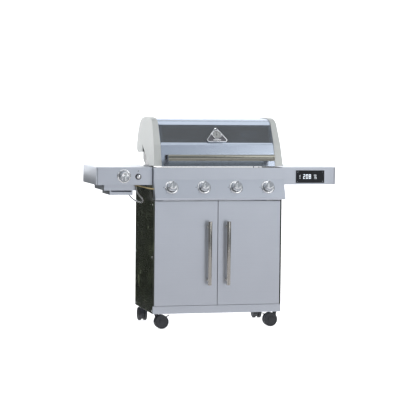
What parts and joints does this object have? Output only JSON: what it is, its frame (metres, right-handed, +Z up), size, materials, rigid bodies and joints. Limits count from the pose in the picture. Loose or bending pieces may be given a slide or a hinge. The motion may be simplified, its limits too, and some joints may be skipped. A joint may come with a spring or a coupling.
{
  "type": "gas barbecue grill",
  "caption": "Stainless gas barbecue on a two-door wheeled cabinet, with a glass-front hinged hood, a side burner shelf, a touch-display shelf and turning knobs.",
  "frame": {"origin": "on the floor under the middle of the bounding box", "axes": "+X to the grill's right as seen from the front, +Y to the back, +Z up"},
  "size_m": [1.38, 0.5551, 1.1749],
  "materials": {
    "brushed_steel": "brushed stainless sheet, satin",
    "polished_steel": "polished stainless tube and chromed castings",
    "dark_enamel": "dark glossy enamelled sheet",
    "pale_cast": "pale silver-grey painted casting",
    "cast_iron": "matt black cast iron",
    "black_plastic": "black moulded plastic",
    "black_glass": "black display glass",
    "tinted_glass": "tinted toughened glass",
    "brass": "brass gas fittings"
  },
  "bodies": {
    "cart": {"base_tray": "brushed_steel", "side_panel_left": "dark_enamel", "side_panel_right": "dark_enamel", "back_panel": "dark_enamel", "firebox": "dark_enamel", "control_panel": "brushed_steel", "gas_manifold": "brass", "burner_1": "brushed_steel", "burner_2": "brushed_steel", "burner_3": "brushed_steel", "burner_4": "brushed_steel", "flame_tamer_left": "brushed_steel", "flame_tamer_right": "brushed_steel", "cooking_grate_left": "cast_iron", "cooking_grate_right": "cast_iron", "warming_rack": "polished_steel", "hood_bracket_left": "dark_enamel", "hood_bracket_right": "dark_enamel", "shelf_left": "brushed_steel", "shelf_right": "brushed_steel", "display_panel": "black_glass", "side_burner_bowl": "brushed_steel", "side_burner": "brass", "side_burner_trivet": "cast_iron", "gas_hose": "polished_steel"},
    "hood": {"hood_shell": "brushed_steel", "hood_cap_left": "pale_cast", "hood_cap_right": "pale_cast", "hood_glass": "tinted_glass", "hood_handle": "polished_steel", "thermometer_badge": "polished_steel"},
    "needle": {"thermometer_needle": "black_plastic"},
    "door_left": {"door_left": "brushed_steel", "door_handle_left": "polished_steel"},
    "door_right": {"door_right": "brushed_steel", "door_handle_right": "polished_steel"},
    "grease_tray": {"grease_tray": "brushed_steel"},
    "igniter": {"igniter_button": "black_plastic"},
    "side_lid": {"side_burner_lid": "brushed_steel"},
    "drip_tray": {"side_burner_drip_tray": "brushed_steel"},
    "side_stem": {"side_valve_stem": "brass"},
    "side_knob": {"side_burner_knob": "polished_steel"},
    "stem_1": {"valve_stem_1": "brass"},
    "knob_1": {"burner_knob_1": "polished_steel"},
    "stem_2": {"valve_stem_2": "brass"},
    "knob_2": {"burner_knob_2": "polished_steel"},
    "stem_3": {"valve_stem_3": "brass"},
    "knob_3": {"burner_knob_3": "polished_steel"},
    "stem_4": {"valve_stem_4": "brass"},
    "knob_4": {"burner_knob_4": "polished_steel"},
    "castor_front_left": {"caster_housing_front_left": "black_plastic"},
    "wheels_front_left": {"caster_wheels_front_left": "black_plastic"},
    "brake_front_left": {"brake_pedal_front_left": "black_plastic"},
    "castor_front_right": {"caster_housing_front_right": "black_plastic"},
    "wheels_front_right": {"caster_wheels_front_right": "black_plastic"},
    "brake_front_right": {"brake_pedal_front_right": "black_plastic"},
    "castor_rear_left": {"caster_housing_rear_left": "black_plastic"},
    "wheels_rear_left": {"caster_wheels_rear_left": "black_plastic"},
    "castor_rear_right": {"caster_housing_rear_right": "black_plastic"},
    "wheels_rear_right": {"caster_wheels_rear_right": "black_plastic"}
  },
  "joints": [
    {"name": "hood_hinge", "type": "hinge", "parent": "cart", "child": "hood", "pos_m": [0, 0.174, 0.985], "axis": [-1, 0, 0], "range_deg": [0, 80]},
    {"name": "door_left_hinge", "type": "hinge", "parent": "cart", "child": "door_left", "pos_m": [-0.3595, -0.1845, 0.42], "axis": [0, 0, -1], "range_deg": [0, 110]},
    {"name": "door_right_hinge", "type": "hinge", "parent": "cart", "child": "door_right", "pos_m": [0.3595, -0.1845, 0.42], "axis": [0, 0, 1], "range_deg": [0, 110]},
    {"name": "grease_tray_slide", "type": "slide", "parent": "cart", "child": "grease_tray", "axis": [0, 1, 0], "range_m": [0, 0.38]},
    {"name": "valve_push_1", "type": "slide", "parent": "cart", "child": "stem_1", "axis": [0, 0.9225, -0.386], "range_m": [0, 0.004], "stiffness_N_per_m": 800, "springref_m": -0.003},
    {"name": "knob_turn_1", "type": "hinge", "parent": "stem_1", "child": "knob_1", "pos_m": [-0.276, -0.22515, 0.79], "axis": [0, -0.9225, 0.386], "range_deg": [0, 225]},
    {"name": "valve_push_2", "type": "slide", "parent": "cart", "child": "stem_2", "axis": [0, 0.9225, -0.386], "range_m": [0, 0.004], "stiffness_N_per_m": 800, "springref_m": -0.003},
    {"name": "knob_turn_2", "type": "hinge", "parent": "stem_2", "child": "knob_2", "pos_m": [-0.092, -0.22515, 0.79], "axis": [0, -0.9225, 0.386], "range_deg": [0, 225]},
    {"name": "valve_push_3", "type": "slide", "parent": "cart", "child": "stem_3", "axis": [0, 0.9225, -0.386], "range_m": [0, 0.004], "stiffness_N_per_m": 800, "springref_m": -0.003},
    {"name": "knob_turn_3", "type": "hinge", "parent": "stem_3", "child": "knob_3", "pos_m": [0.092, -0.22515, 0.79], "axis": [0, -0.9225, 0.386], "range_deg": [0, 225]},
    {"name": "valve_push_4", "type": "slide", "parent": "cart", "child": "stem_4", "axis": [0, 0.9225, -0.386], "range_m": [0, 0.004], "stiffness_N_per_m": 800, "springref_m": -0.003},
    {"name": "knob_turn_4", "type": "hinge", "parent": "stem_4", "child": "knob_4", "pos_m": [0.276, -0.22515, 0.79], "axis": [0, -0.9225, 0.386], "range_deg": [0, 225]},
    {"name": "side_valve_push", "type": "slide", "parent": "cart", "child": "side_stem", "axis": [0, 1, 0], "range_m": [0, 0.004], "stiffness_N_per_m": 800, "springref_m": -0.003},
    {"name": "side_knob_turn", "type": "hinge", "parent": "side_stem", "child": "side_knob", "pos_m": [-0.535, -0.18, 0.85], "axis": [0, -1, 0], "range_deg": [0, 225]},
    {"name": "igniter_push", "type": "slide", "parent": "cart", "child": "igniter", "axis": [0, 1, 0], "range_m": [0, 0.0025], "stiffness_N_per_m": 800, "springref_m": -0.002},
    {"name": "side_lid_hinge", "type": "hinge", "parent": "cart", "child": "side_lid", "pos_m": [-0.545, 0.1592, 0.8992], "axis": [-1, 0, 0], "range_deg": [0, 100]},
    {"name": "drip_tray_slide", "type": "slide", "parent": "cart", "child": "drip_tray", "axis": [0, -1, 0], "range_m": [0, 0.18]},
    {"name": "needle_turn", "type": "hinge", "parent": "hood", "child": "needle", "pos_m": [0, -0.12744, 1.07156], "axis": [0, -0.8664, 0.4993], "range_deg": [-240, 0]},
    {"name": "castor_swivel_front_left", "type": "hinge", "parent": "cart", "child": "castor_front_left", "pos_m": [-0.343, -0.16, 0.08], "axis": [0, 0, 1], "continuous": true},
    {"name": "wheel_roll_front_left", "type": "hinge", "parent": "castor_front_left", "child": "wheels_front_left", "pos_m": [-0.315, -0.16, 0.039], "axis": [0, 1, 0], "continuous": true},
    {"name": "brake_press_front_left", "type": "hinge", "parent": "castor_front_left", "child": "brake_front_left", "pos_m": [-0.29122, -0.16, 0.06041], "axis": [0, 1, 0], "range_deg": [0, 14]},
    {"name": "castor_swivel_front_right", "type": "hinge", "parent": "cart", "child": "castor_front_right", "pos_m": [0.343, -0.16, 0.08], "axis": [0, 0, 1], "continuous": true},
    {"name": "wheel_roll_front_right", "type": "hinge", "parent": "castor_front_right", "child": "wheels_front_right", "pos_m": [0.315, -0.16, 0.039], "axis": [0, -1, 0], "continuous": true},
    {"name": "brake_press_front_right", "type": "hinge", "parent": "castor_front_right", "child": "brake_front_right", "pos_m": [0.29122, -0.16, 0.06041], "axis": [0, -1, 0], "range_deg": [0, 14]},
    {"name": "castor_swivel_rear_left", "type": "hinge", "parent": "cart", "child": "castor_rear_left", "pos_m": [-0.343, 0.238, 0.08], "axis": [0, 0, 1], "continuous": true},
    {"name": "wheel_roll_rear_left", "type": "hinge", "parent": "castor_rear_left", "child": "wheels_rear_left", "pos_m": [-0.343, 0.21, 0.039], "axis": [1, 0, 0], "continuous": true},
    {"name": "castor_swivel_rear_right", "type": "hinge", "parent": "cart", "child": "castor_rear_right", "pos_m": [0.343, 0.238, 0.08], "axis": [0, 0, 1], "continuous": true},
    {"name": "wheel_roll_rear_right", "type": "hinge", "parent": "castor_rear_right", "child": "wheels_rear_right", "pos_m": [0.343, 0.21, 0.039], "axis": [1, 0, 0], "continuous": true}
  ]
}
